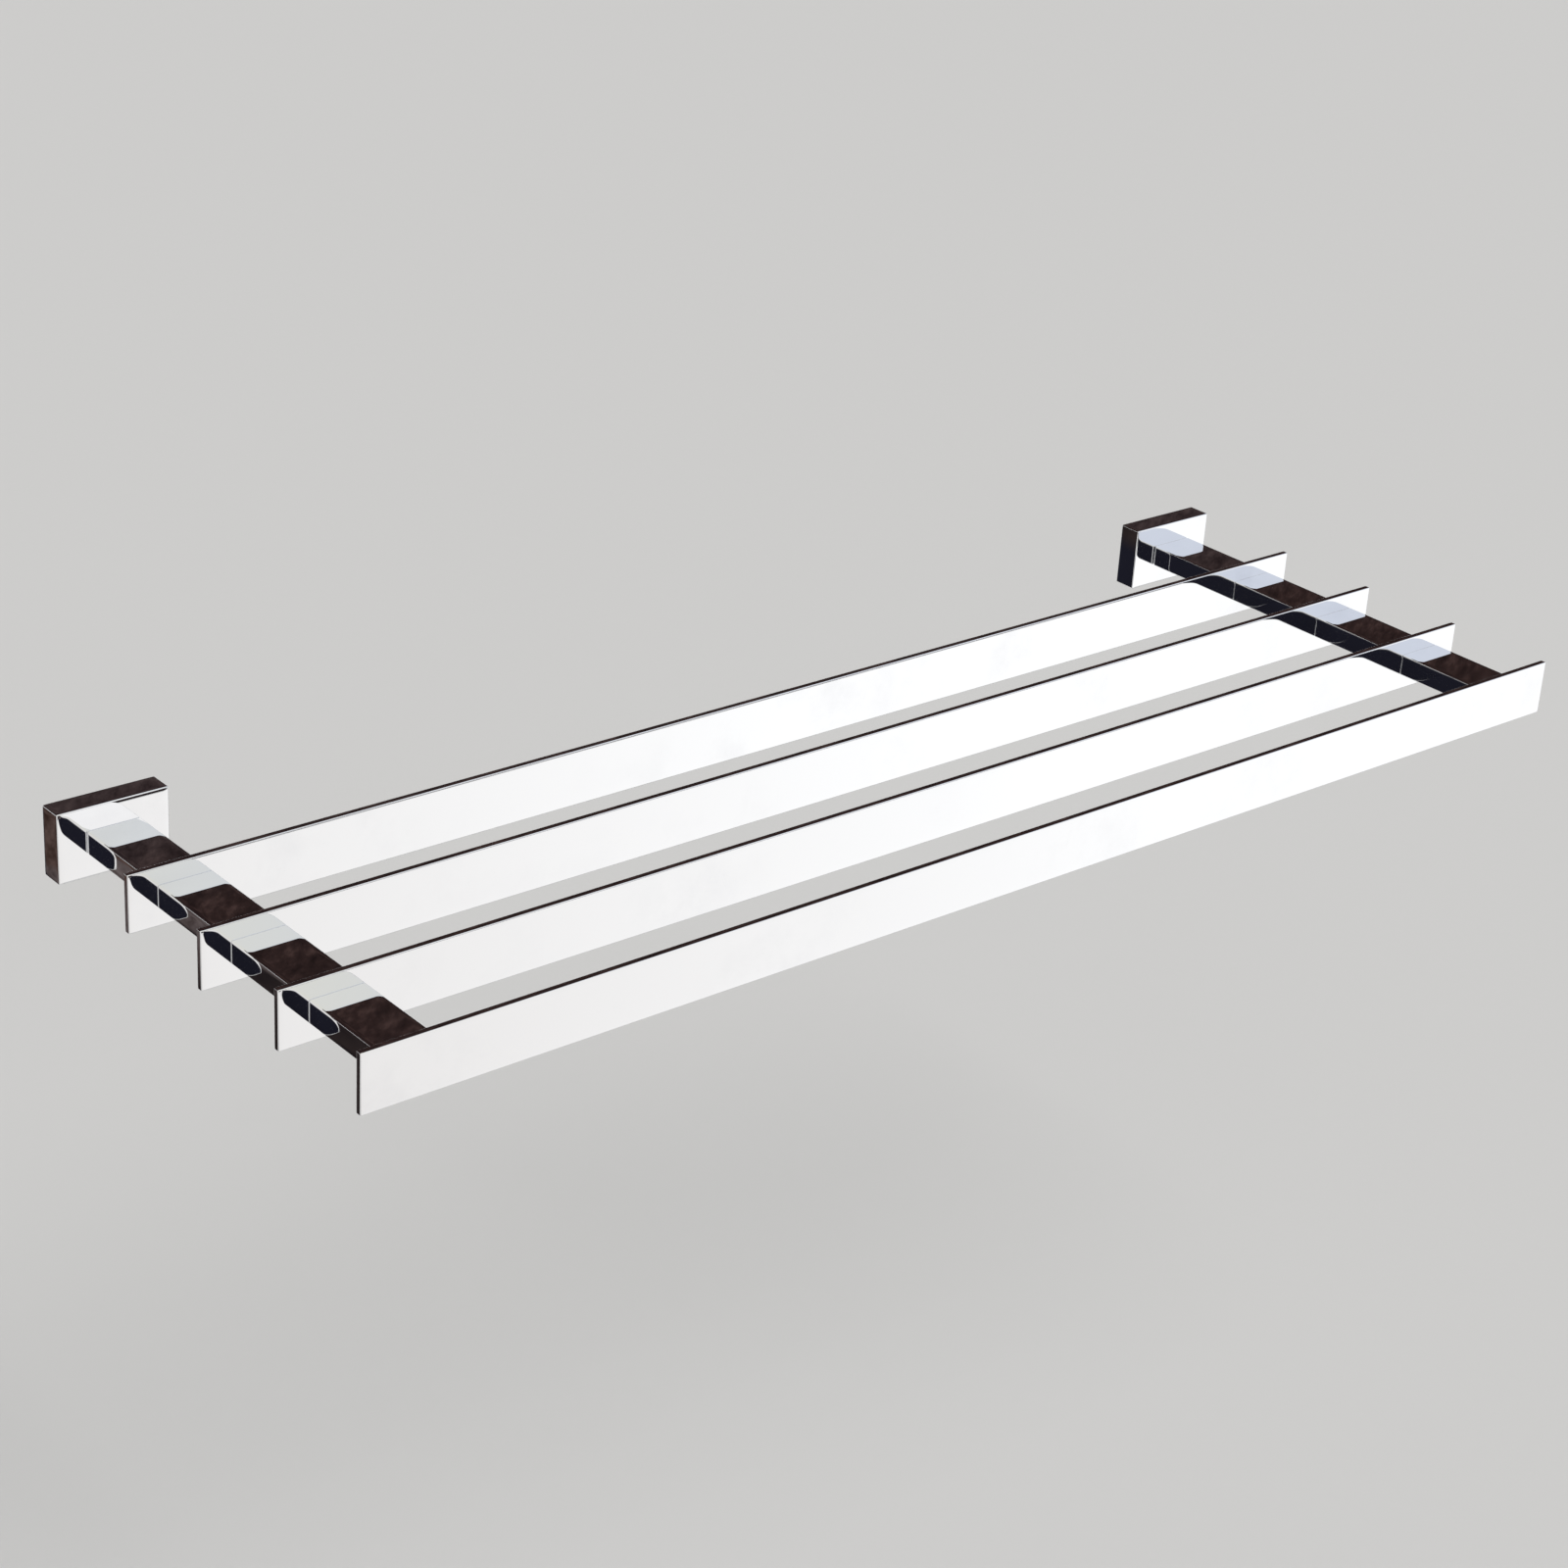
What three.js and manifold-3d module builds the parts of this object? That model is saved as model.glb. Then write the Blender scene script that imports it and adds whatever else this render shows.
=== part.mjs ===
// A wall-hung towel rack: four flat slats on edge, carried by two arms that are built up of
// short blocks, each arm pulled against its wall cover by one tie rod.
// Millimetres. X runs along the wall, +Y points into the wall, +Z is up.
// The origin lies on the wall, midway between the two arms and at their mid height.

import * as THREE from 'three';
import { mergeVertices } from 'three/addons/utils/BufferGeometryUtils.js';
import Module from 'manifold-3d';

const wasm = await Module();
wasm.setup();

// ---------------------------------------------------------------------------
// Driving dimensions
// ---------------------------------------------------------------------------

// The two arms
const armSpacing = 600;
const armWidth = 24;
const armHeight = 10;
const rootBlockLength = 52.5;

// The slats, from the wall outwards, and the clear gap that a towel hangs through
const slatNames = ['slat_rear', 'slat_mid_rear', 'slat_mid_front', 'slat_front'];
const slatHeight = 25.4;
const slatThickness = 3;
const slatGap = 51;
const slatOverhang = 13;

// The hollow covers on the wall
const coverWidth = 50;
const coverHeight = 31;
const coverDepth = 11.5;
const coverWall = 2.5;
const coverFrontWall = 3;

// The channel-shaped brackets that the covers slide over
const bracketBase = 2.5;
const bracketFlange = 2;
const bracketFrontRoom = 2;

// Fasteners
const rodDiameter = 6;
const rodEndStickOut = 0.8;
const nutWall = 2;
const nutThickness = 3.2;
const washerRim = 3;
const washerThickness = 1;
const wallScrewDiameter = 4;
const wallScrewLength = 16;
const wallScrewPoint = 4;
const screwHeadRim = 1.9;
const screwHeadHeight = 2.8;
const crossSlotWidth = 1.1;
const crossSlotLength = 4.6;
const crossSlotDepth = 1.7;
const grubDiameter = 4;
const grubRecess = 0.3;
const grubSocketFlats = 2;
const grubSocketDepth = 2.2;

// Edges and fits
const edgeBreak = 0.4;
const fastenerBreak = 0.5;
const seam = 0.05;
const threadClearance = 0.1;
const rodClearance = 0.3;
const screwClearance = 0.3;
const slideClearance = 0.2;
const sideClearance = 0.3;
const nutRoom = 0.9;
const headRoom = 0.6;

// Facets of a full turn
const fineFacets = 32;
const coarseFacets = 20;

// ---------------------------------------------------------------------------
// Sizes and places worked out from them
// ---------------------------------------------------------------------------

const slatLength = armSpacing + armWidth + 2 * slatOverhang;
const slatPitch = slatGap + slatThickness;
const slatCount = slatNames.length;
const rodHole = rodDiameter + 2 * rodClearance;
const coverFrontY = -coverDepth;
const coverInsideY = coverFrontY + coverFrontWall;
const rearSlatBackY = coverFrontY - rootBlockLength;
const frontSlatBackY = rearSlatBackY - (slatCount - 1) * slatPitch;

const washerDiameter = rodDiameter + 2 * washerRim;
const washerFrontY = coverInsideY + seam;
const nutFrontY = washerFrontY + washerThickness + seam;
const rodEndY = nutFrontY + nutThickness + rodEndStickOut;

const bracketWidth = coverWidth - 2 * coverWall - 2 * sideClearance;
const bracketDepth = coverDepth - coverFrontWall - bracketFrontRoom;
const bracketTopZ = coverHeight / 2 - coverWall - slideClearance;
const bracketBottomZ = -(washerDiameter / 2 + nutRoom + bracketFlange);
const nutCornerDiameter = (rodDiameter + 2 * nutWall) / Math.cos(Math.PI / 6);

const screwHeadDiameter = wallScrewDiameter + 2 * screwHeadRim;
const screwOffset = washerDiameter / 2 + screwHeadDiameter / 2 + headRoom;

const grubBottomZ = -coverHeight / 2 + grubRecess;
const grubTopZ = bracketBottomZ - seam;
const grubY = -(bracketDepth - grubDiameter / 2);

// ---------------------------------------------------------------------------
// Finishes
// ---------------------------------------------------------------------------

const polishedChrome = { color: 0xdcdddf, metalness: 1.0, roughness: 0.05 };
const zincPlate = { color: 0xb9bcbd, metalness: 1.0, roughness: 0.38 };
const plainSteel = { color: 0x9b9c9d, metalness: 1.0, roughness: 0.32 };
const blackOxide = { color: 0x2a2a2c, metalness: 0.9, roughness: 0.45 };

// ---------------------------------------------------------------------------
// Joining and cutting
// ---------------------------------------------------------------------------

function toSolid(geometry) {
  const bare = geometry.clone();
  bare.deleteAttribute('normal');
  bare.deleteAttribute('uv');
  const merged = mergeVertices(bare, 1e-4);
  const mesh = new wasm.Mesh({
    numProp: 3,
    vertProperties: new Float32Array(merged.attributes.position.array),
    triVerts: new Uint32Array(merged.index.array),
  });
  return new wasm.Manifold(mesh);
}

function toGeometry(solid) {
  const mesh = solid.getMesh();
  const geometry = new THREE.BufferGeometry();
  geometry.setAttribute('position', new THREE.BufferAttribute(mesh.vertProperties, 3));
  geometry.setIndex(new THREE.BufferAttribute(mesh.triVerts, 1));
  geometry.computeVertexNormals();
  return geometry;
}

function cut(geometry, ...tools) {
  let solid = toSolid(geometry);
  for (const tool of tools) {
    solid = solid.subtract(toSolid(tool));
  }
  return toGeometry(solid);
}

function common(first, second) {
  return toGeometry(toSolid(first).intersect(toSolid(second)));
}

// ---------------------------------------------------------------------------
// Basic shapes
// ---------------------------------------------------------------------------

// A bar of the given size about the origin, with every edge broken by a flat.
function brokenEdgeBar(sizeX, sizeY, sizeZ) {
  const x = sizeX / 2;
  const y = sizeY / 2;
  const c = edgeBreak;
  const outline = new THREE.Shape([
    new THREE.Vector2(-x + c, -y),
    new THREE.Vector2(x - c, -y),
    new THREE.Vector2(x, -y + c),
    new THREE.Vector2(x, y - c),
    new THREE.Vector2(x - c, y),
    new THREE.Vector2(-x + c, y),
    new THREE.Vector2(-x, y - c),
    new THREE.Vector2(-x, -y + c),
  ]);
  const bar = new THREE.ExtrudeGeometry(outline, {
    depth: sizeZ - 2 * c,
    bevelThickness: c,
    bevelSize: c,
    bevelOffset: -c,
    bevelSegments: 1,
  });
  return bar.translate(0, 0, -sizeZ / 2 + c);
}

// A round bar along Y, about the origin.
function roundAlongY(diameter, length, facets = fineFacets) {
  return new THREE.CylinderGeometry(diameter / 2, diameter / 2, length, facets);
}

// A round bar along Z, about the origin.
function roundAlongZ(diameter, length, facets = fineFacets) {
  return roundAlongY(diameter, length, facets).rotateX(Math.PI / 2);
}

// A six-sided bar along Y, about the origin, with two flats level.
function hexAlongY(acrossFlats, length) {
  const corner = acrossFlats / 2 / Math.cos(Math.PI / 6);
  return new THREE.CylinderGeometry(corner, corner, length, 6).rotateY(Math.PI / 6);
}

// A turned piece: [radius, y] pairs from one point on the axis to the other, upwards in y.
function turned(profile, facets = coarseFacets) {
  return new THREE.LatheGeometry(profile.map(([r, y]) => new THREE.Vector2(r, y)), facets);
}

// A tool that drills through in Y at the given place.
function drillAlongY(diameter, x, z) {
  const farEnough = coverDepth + slatPitch + rootBlockLength;
  return roundAlongY(diameter, 2 * farEnough).translate(x, 0, z);
}

// ---------------------------------------------------------------------------
// Sub-parts
// ---------------------------------------------------------------------------

// A flat slat on edge, drilled where the two tie rods pass through it.
function drilledSlat() {
  const blank = brokenEdgeBar(slatLength, slatThickness, slatHeight);
  return cut(
    blank,
    drillAlongY(rodHole, -armSpacing / 2, 0),
    drillAlongY(rodHole, armSpacing / 2, 0),
  );
}

// The front slat: its face is plain, and the tie rods are stud-welded to its back.
function plainSlat() {
  return brokenEdgeBar(slatLength, slatThickness, slatHeight);
}

// A length of arm, bored for the tie rod.
function armBlock(length) {
  const blank = brokenEdgeBar(armWidth, length - 2 * seam, armHeight);
  return cut(blank, drillAlongY(rodHole, 0, 0));
}

// The hollow cover, open at the wall, about the middle of its back.
function wallCover() {
  const shell = brokenEdgeBar(coverWidth, coverDepth, coverHeight).translate(0, -coverDepth / 2, 0);
  const hollowDepth = coverDepth - coverFrontWall;
  const hollow = new THREE.BoxGeometry(
    coverWidth - 2 * coverWall,
    2 * hollowDepth,
    coverHeight - 2 * coverWall,
  );
  const grubHole = roundAlongZ(grubDiameter + 2 * threadClearance, 2 * coverWall + edgeBreak);
  grubHole.translate(0, grubY, -coverHeight / 2);
  return cut(shell, hollow, drillAlongY(rodHole, 0, 0), grubHole);
}

// The channel screwed to the wall: a base between two flanges, with room for the rod's nut.
function wallBracket() {
  const outline = new THREE.Shape([
    new THREE.Vector2(0, bracketBottomZ),
    new THREE.Vector2(0, bracketTopZ),
    new THREE.Vector2(-bracketDepth, bracketTopZ),
    new THREE.Vector2(-bracketDepth, bracketTopZ - bracketFlange),
    new THREE.Vector2(-bracketBase, bracketTopZ - bracketFlange),
    new THREE.Vector2(-bracketBase, bracketBottomZ + bracketFlange),
    new THREE.Vector2(-bracketDepth, bracketBottomZ + bracketFlange),
    new THREE.Vector2(-bracketDepth, bracketBottomZ),
  ]);
  const channel = new THREE.ExtrudeGeometry(outline, { depth: bracketWidth, bevelEnabled: false });
  channel.translate(0, 0, -bracketWidth / 2);
  // The outline is drawn in Y and Z; this turn lays its extrusion along X.
  channel.applyMatrix4(new THREE.Matrix4().makeBasis(
    new THREE.Vector3(0, 1, 0),
    new THREE.Vector3(0, 0, 1),
    new THREE.Vector3(1, 0, 0),
  ));
  return cut(
    channel,
    drillAlongY(nutCornerDiameter + nutRoom, 0, 0),
    drillAlongY(wallScrewDiameter + 2 * screwClearance, -screwOffset, 0),
    drillAlongY(wallScrewDiameter + 2 * screwClearance, screwOffset, 0),
  );
}

// The tie rod, with its free end broken, from the front slat's back to behind the nut.
function tieRod() {
  const length = rodEndY - (frontSlatBackY + seam);
  const r = rodDiameter / 2;
  return turned([
    [0, 0],
    [r, 0],
    [r, length - fastenerBreak],
    [r - fastenerBreak, length],
    [0, length],
  ], fineFacets);
}

// A thin hexagon nut with its corners turned off on both sides.
function rodNut() {
  const flats = rodDiameter + 2 * nutWall;
  const corner = nutCornerDiameter / 2;
  const turnedOff = turned([
    [0, -nutThickness / 2],
    [flats / 2, -nutThickness / 2],
    [corner, -nutThickness / 2 + (corner - flats / 2) / 2],
    [corner, nutThickness / 2 - (corner - flats / 2) / 2],
    [flats / 2, nutThickness / 2],
    [0, nutThickness / 2],
  ], fineFacets);
  const body = common(hexAlongY(flats, nutThickness), turnedOff);
  return cut(body, drillAlongY(rodDiameter + 2 * threadClearance, 0, 0));
}

function rodWasher() {
  const disc = roundAlongY(washerDiameter, washerThickness);
  return cut(disc, drillAlongY(rodDiameter + 2 * rodClearance, 0, 0));
}

// A pan-head wood screw with a cross recess; its head's underside is at the origin.
function wallScrew() {
  const headRadius = screwHeadDiameter / 2;
  const shankRadius = wallScrewDiameter / 2;
  const rimHeight = screwHeadHeight / 2;
  const crownSteps = 5;
  const profile = [[0, -screwHeadHeight]];
  for (let step = 1; step <= crownSteps; step += 1) {
    const turn = (Math.PI / 2) * (step / crownSteps);
    const rise = (screwHeadHeight - rimHeight) * Math.cos(turn);
    profile.push([headRadius * Math.sin(turn), -rimHeight - rise]);
  }
  profile.push([headRadius, 0]);
  profile.push([shankRadius, 0]);
  profile.push([shankRadius, wallScrewLength - wallScrewPoint]);
  profile.push([0, wallScrewLength]);
  const recessDepth = 2 * crossSlotDepth;
  const bladeA = new THREE.BoxGeometry(crossSlotLength, recessDepth, crossSlotWidth);
  const bladeB = new THREE.BoxGeometry(crossSlotWidth, recessDepth, crossSlotLength);
  bladeA.translate(0, -screwHeadHeight, 0);
  bladeB.translate(0, -screwHeadHeight, 0);
  return cut(turned(profile), bladeA, bladeB);
}

// A grub screw with a hexagon socket in its lower end, about its mid length, along Y.
function grubScrew() {
  const length = grubTopZ - grubBottomZ;
  const r = grubDiameter / 2;
  const blank = turned([
    [0, -length / 2],
    [r - fastenerBreak, -length / 2],
    [r, -length / 2 + fastenerBreak],
    [r, length / 2 - fastenerBreak],
    [r - fastenerBreak, length / 2],
    [0, length / 2],
  ]);
  const socket = hexAlongY(grubSocketFlats, 2 * grubSocketDepth).translate(0, -length / 2, 0);
  return cut(blank, socket);
}

// ---------------------------------------------------------------------------
// Assembly
// ---------------------------------------------------------------------------

function piece(parent, name, geometry, finish, x = 0, y = 0, z = 0) {
  const mesh = new THREE.Mesh(geometry, new THREE.MeshStandardMaterial(finish));
  mesh.name = name;
  mesh.position.set(x, y, z);
  parent.add(mesh);
  return mesh;
}

// How far the middle of slat number `index` stands from the wall, along Y.
function slatMiddleY(index) {
  return rearSlatBackY - index * slatPitch - slatThickness / 2;
}

function addSlats(parent) {
  slatNames.forEach((name, index) => {
    const isFront = index === slatCount - 1;
    const geometry = isFront ? plainSlat() : drilledSlat();
    piece(parent, name, geometry, polishedChrome, 0, slatMiddleY(index), 0);
  });
}

function addArmBlocks(arm, side) {
  let frontY = coverFrontY;
  for (let index = 0; index < slatCount; index += 1) {
    const length = index === 0 ? rootBlockLength : slatGap;
    const middleY = frontY - length / 2;
    piece(arm, `arm_${side}_block_${index + 1}`, armBlock(length), polishedChrome, 0, middleY, 0);
    frontY -= length + slatThickness;
  }
}

function addTieRod(arm, side) {
  piece(arm, `tie_rod_${side}`, tieRod(), plainSteel, 0, frontSlatBackY + seam, 0);
  const washerY = washerFrontY + washerThickness / 2;
  piece(arm, `rod_washer_${side}`, rodWasher(), zincPlate, 0, washerY, 0);
  const nutY = nutFrontY + nutThickness / 2;
  piece(arm, `rod_nut_${side}`, rodNut(), zincPlate, 0, nutY, 0);
}

function addWallFixing(arm, side, outward) {
  piece(arm, `wall_cover_${side}`, wallCover(), polishedChrome);
  piece(arm, `wall_bracket_${side}`, wallBracket(), zincPlate);
  const grubZ = (grubBottomZ + grubTopZ) / 2;
  const grub = piece(arm, `grub_screw_${side}`, grubScrew(), blackOxide, 0, grubY, grubZ);
  grub.rotation.x = Math.PI / 2;
  const headY = -bracketBase - seam;
  const outerX = outward * screwOffset;
  piece(arm, `wall_screw_${side}_outer`, wallScrew(), zincPlate, outerX, headY, 0);
  piece(arm, `wall_screw_${side}_inner`, wallScrew(), zincPlate, -outerX, headY, 0);
}

function addArm(parent, side, outward) {
  const arm = new THREE.Group();
  arm.position.x = outward * armSpacing / 2;
  parent.add(arm);
  addArmBlocks(arm, side);
  addTieRod(arm, side);
  addWallFixing(arm, side, outward);
}

const towelRack = new THREE.Group();
addSlats(towelRack);
addArm(towelRack, 'left', -1);
addArm(towelRack, 'right', 1);

export default towelRack;
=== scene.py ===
"""Looks for a wall-hung towel rack: four slats on edge, two arms of blocks, two wall covers."""

import math

import bpy
from mathutils import Matrix, Vector


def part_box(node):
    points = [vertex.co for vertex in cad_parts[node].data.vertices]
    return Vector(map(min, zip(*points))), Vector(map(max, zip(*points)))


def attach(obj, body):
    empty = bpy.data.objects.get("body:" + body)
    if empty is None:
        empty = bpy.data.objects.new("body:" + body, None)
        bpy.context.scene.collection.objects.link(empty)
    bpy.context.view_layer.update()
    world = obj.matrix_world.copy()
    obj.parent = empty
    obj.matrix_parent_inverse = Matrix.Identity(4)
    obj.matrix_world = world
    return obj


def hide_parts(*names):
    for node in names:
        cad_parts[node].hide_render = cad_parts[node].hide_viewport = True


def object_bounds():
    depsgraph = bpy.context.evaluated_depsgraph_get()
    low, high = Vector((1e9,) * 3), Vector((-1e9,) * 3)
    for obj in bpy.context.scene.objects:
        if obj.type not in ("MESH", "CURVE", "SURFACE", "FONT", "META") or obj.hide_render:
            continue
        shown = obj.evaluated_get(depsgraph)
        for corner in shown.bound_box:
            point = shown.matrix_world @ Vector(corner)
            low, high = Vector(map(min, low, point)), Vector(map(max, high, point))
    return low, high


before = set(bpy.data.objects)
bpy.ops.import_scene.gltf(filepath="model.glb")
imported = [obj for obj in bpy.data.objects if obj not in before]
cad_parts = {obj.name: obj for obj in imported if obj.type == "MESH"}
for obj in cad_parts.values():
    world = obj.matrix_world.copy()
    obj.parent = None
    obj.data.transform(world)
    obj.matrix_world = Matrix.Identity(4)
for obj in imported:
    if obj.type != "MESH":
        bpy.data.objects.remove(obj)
cad_low, cad_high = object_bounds()

MM = 0.001

# ---------------------------------------------------------------------------
# Sizes of the finish, in metres
# ---------------------------------------------------------------------------

SLATS = ("slat_rear", "slat_mid_rear", "slat_mid_front", "slat_front")
SIDES = ("left", "right")
SHORT_BLOCKS = (2, 3, 4)

# Buffed faces fall away towards their edges: over what band, and how far, along X, Y and Z
SLAT_FALLS = ((3.0 * MM, 0.11 * MM), None, (3.0 * MM, 0.08 * MM))
BLOCK_FALLS = ((2.6 * MM, 0.08 * MM), None, (2.6 * MM, 0.08 * MM))
COVER_FALLS = ((3.2 * MM, 0.11 * MM), (2.4 * MM, 0.05 * MM), (3.2 * MM, 0.09 * MM))
# Loops that carry the fall: one just inside the rounding of the edge, the rest by share of the band
NEAR_EDGE = 0.1 * MM
FALL_STOPS = (0.3, 0.44, 0.58, 0.72, 0.86, 1.0)

# Rounding of the edges
SLAT_EDGE = 0.4 * MM
BLOCK_EDGE = 0.36 * MM
COVER_EDGE = 0.5 * MM
HOLE_EDGE = 0.2 * MM
EDGE_STEPS = 5
PLATE_EDGE_STEPS = 2
HOLE_EDGE_STEPS = 3

# The upright chamfers of the first block, where it stands on the cover
WALL_END_CHAMFER = 0.8 * MM

# The hollow cover
COVER_WALL = 2.5 * MM
COVER_FRONT_WALL = 3.0 * MM
COVER_INSIDE_EDGE = 1.0 * MM
COVER_INSIDE_STEPS = 4

# The channel bracket
BRACKET_BASE = 2.5 * MM
BRACKET_FLANGE = 2.0 * MM
BEND_OUTSIDE = 2.2 * MM
BEND_OUTSIDE_STEPS = 6
BEND_INSIDE = 0.6 * MM
BEND_INSIDE_STEPS = 4
PLATE_EDGE = 0.25 * MM
# How far a cutter runs past the ends of what it cuts
PAST_END = 1.0 * MM

# Clearances round the fasteners
ROD_CLEARANCE = 0.3 * MM
SCREW_CLEARANCE = 0.3 * MM
THREAD_CLEARANCE = 0.1 * MM
NUT_ROOM = 0.9 * MM

# Threads: pitch and depth
ROD_PITCH = 1.0 * MM
ROD_THREAD_DEPTH = 0.6 * MM
ROD_THREAD_LENGTH = 14.0 * MM
GRUB_PITCH = 0.7 * MM
GRUB_THREAD_DEPTH = 0.4 * MM
WOOD_PITCH = 1.8 * MM
WOOD_THREAD_DEPTH = 0.7 * MM
# How much of a ridge's own size stands out of the core; the rest of it is sunk
RIDGE_STANDS_OUT = 1.3

# Heads, chamfers and sockets
CHAMFER = 0.5 * MM
SCREW_DIAMETER = 4.0 * MM
SCREW_HEAD_HEIGHT = 2.8 * MM
SCREW_HEAD_RINGS = 6
SCREW_POINT = 4.0 * MM
SCREW_BLUNT = 1.0 * MM
POINT_KEEPS = 0.08
POINT_CURVE = 0.8
CROSS_WIDTH = 1.1 * MM
CROSS_LENGTH = 4.6 * MM
CROSS_DEPTH = 1.9 * MM
CROSS_DEEP_END = 0.55
SOCKET_FLATS = 2.0 * MM
SOCKET_DEPTH = 2.2 * MM

# Sides of round pieces, and how near two places have to be to count as one
ROUND_SIDES = 48
RING_SIDES = 56
TURNED_SIDES = 40
SCREW_SIDES = 36
THREAD_STEPS = 24
TOUCH = 0.001 * MM
NEARLY = 0.1 * MM


# ---------------------------------------------------------------------------
# Shader groups
# ---------------------------------------------------------------------------

# Between which values of a noise the haze and the hairlines of the polish come up
HAZE_CLOUD = (0.48, 0.74)
HAZE_PATCH = (0.42, 0.66)
HAIRLINE_SHOWS = (0.62, 0.75)


def new_group(name, inputs, outputs):
    """A shader group with float inputs (name, default) and outputs (name, socket type)."""
    group = bpy.data.node_groups.new(name, "ShaderNodeTree")
    for label, default in inputs:
        socket = group.interface.new_socket(label, in_out="INPUT", socket_type="NodeSocketFloat")
        socket.default_value = default
    for label, kind in outputs:
        group.interface.new_socket(label, in_out="OUTPUT", socket_type=kind)
    group_in = group.nodes.new("NodeGroupInput")
    group_out = group.nodes.new("NodeGroupOutput")
    return group, group_in, group_out


def wire(tree, *pairs):
    """Links (from socket, to socket) pairs."""
    for source, target in pairs:
        tree.links.new(source, target)


def noise(tree, vector, scale, detail, roughness=0.5):
    node = tree.nodes.new("ShaderNodeTexNoise")
    node.inputs["Scale"].default_value = scale
    node.inputs["Detail"].default_value = detail
    node.inputs["Roughness"].default_value = roughness
    tree.links.new(vector, node.inputs["Vector"])
    return node.outputs["Fac"]


def spread(tree, value, low, high, to_low, to_high):
    """Remaps value from low..high to to_low..to_high, held at the ends."""
    node = tree.nodes.new("ShaderNodeMapRange")
    node.inputs["From Min"].default_value = low
    node.inputs["From Max"].default_value = high
    for label, bound in (("To Min", to_low), ("To Max", to_high)):
        if isinstance(bound, float):
            node.inputs[label].default_value = bound
        else:
            tree.links.new(bound, node.inputs[label])
    tree.links.new(value, node.inputs["Value"])
    return node.outputs["Result"]


def mask(tree, value, band):
    """0 below a band of values, 1 above it and a slope across it."""
    return spread(tree, value, *band, 0.0, 1.0)


def arithmetic(tree, operation, first, second):
    node = tree.nodes.new("ShaderNodeMath")
    node.operation = operation
    for index, term in enumerate((first, second)):
        if isinstance(term, float):
            node.inputs[index].default_value = term
        else:
            tree.links.new(term, node.inputs[index])
    return node.outputs["Value"]


def stretched(tree, vector, along):
    """Coordinates scaled by axis. A small scale draws a pattern out into lines along its axis."""
    node = tree.nodes.new("ShaderNodeMapping")
    node.inputs["Scale"].default_value = along
    tree.links.new(vector, node.inputs["Vector"])
    return node.outputs["Vector"]


def make_polish_group():
    """Handling haze, hairline polishing marks and a faint roll in a mirror-polished face."""
    group, group_in, group_out = new_group(
        "mirror_polish",
        [("Mirror Roughness", 0.02), ("Haze", 0.05), ("Hairlines", 0.02)],
        [
            ("Roughness", "NodeSocketFloat"), ("Haze Mask", "NodeSocketFloat"),
            ("Height", "NodeSocketFloat"),
        ],
    )
    place = group.nodes.new("ShaderNodeTexCoord").outputs["Object"]
    cloud = noise(group, place, scale=38.0, detail=4.0, roughness=0.62)
    patch = noise(group, place, scale=9.0, detail=2.0)
    haze = arithmetic(
        group, "MULTIPLY",
        mask(group, cloud, HAZE_CLOUD),
        mask(group, patch, HAZE_PATCH),
    )
    fine = noise(group, stretched(group, place, (0.03, 1.0, 1.0)), scale=2600.0, detail=2.0)
    hairline = mask(group, fine, HAIRLINE_SHOWS)
    rough = arithmetic(
        group, "ADD",
        arithmetic(group, "MULTIPLY", haze, group_in.outputs["Haze"]),
        arithmetic(group, "MULTIPLY", hairline, group_in.outputs["Hairlines"]),
    )
    rough = arithmetic(group, "ADD", rough, group_in.outputs["Mirror Roughness"])
    roll = noise(group, place, scale=26.0, detail=1.0)
    wire(
        group,
        (rough, group_out.inputs["Roughness"]),
        (haze, group_out.inputs["Haze Mask"]),
        (roll, group_out.inputs["Height"]),
    )
    return group


def make_grain_group():
    """Matt, slightly crystalline plating or oxide: a fine grain over broad, faint clouds."""
    group, group_in, group_out = new_group(
        "matt_plating",
        [("Base Roughness", 0.35), ("Spread", 0.12), ("Grain Size", 1.0)],
        [
            ("Roughness", "NodeSocketFloat"), ("Cloud", "NodeSocketFloat"),
            ("Height", "NodeSocketFloat"),
        ],
    )
    place = group.nodes.new("ShaderNodeTexCoord").outputs["Object"]
    scaled = group.nodes.new("ShaderNodeVectorMath")
    scaled.operation = "SCALE"
    wire(group, (place, scaled.inputs[0]), (group_in.outputs["Grain Size"], scaled.inputs["Scale"]))
    grain = noise(group, scaled.outputs["Vector"], scale=1400.0, detail=3.0, roughness=0.6)
    cloud = noise(group, scaled.outputs["Vector"], scale=120.0, detail=3.0)
    rough = arithmetic(
        group, "ADD",
        arithmetic(group, "MULTIPLY", grain, group_in.outputs["Spread"]),
        group_in.outputs["Base Roughness"],
    )
    wire(
        group,
        (rough, group_out.inputs["Roughness"]),
        (cloud, group_out.inputs["Cloud"]),
        (grain, group_out.inputs["Height"]),
    )
    return group


POLISH = make_polish_group()
GRAIN = make_grain_group()


# ---------------------------------------------------------------------------
# Finishes
# ---------------------------------------------------------------------------

def new_metal(name, roughness):
    """A metallic material: itself, its tree, its shader and the bump under the shader's normal."""
    material = bpy.data.materials.new(name)
    material.use_nodes = True
    tree = material.node_tree
    shader = tree.nodes["Principled BSDF"]
    shader.inputs["Metallic"].default_value = 1.0
    shader.inputs["Roughness"].default_value = roughness
    bump = tree.nodes.new("ShaderNodeBump")
    tree.links.new(bump.outputs["Normal"], shader.inputs["Normal"])
    return material, tree, shader, bump


def use_group(tree, group, **values):
    node = tree.nodes.new("ShaderNodeGroup")
    node.node_tree = group
    for label, value in values.items():
        node.inputs[label.replace("_", " ")].default_value = value
    return node


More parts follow.
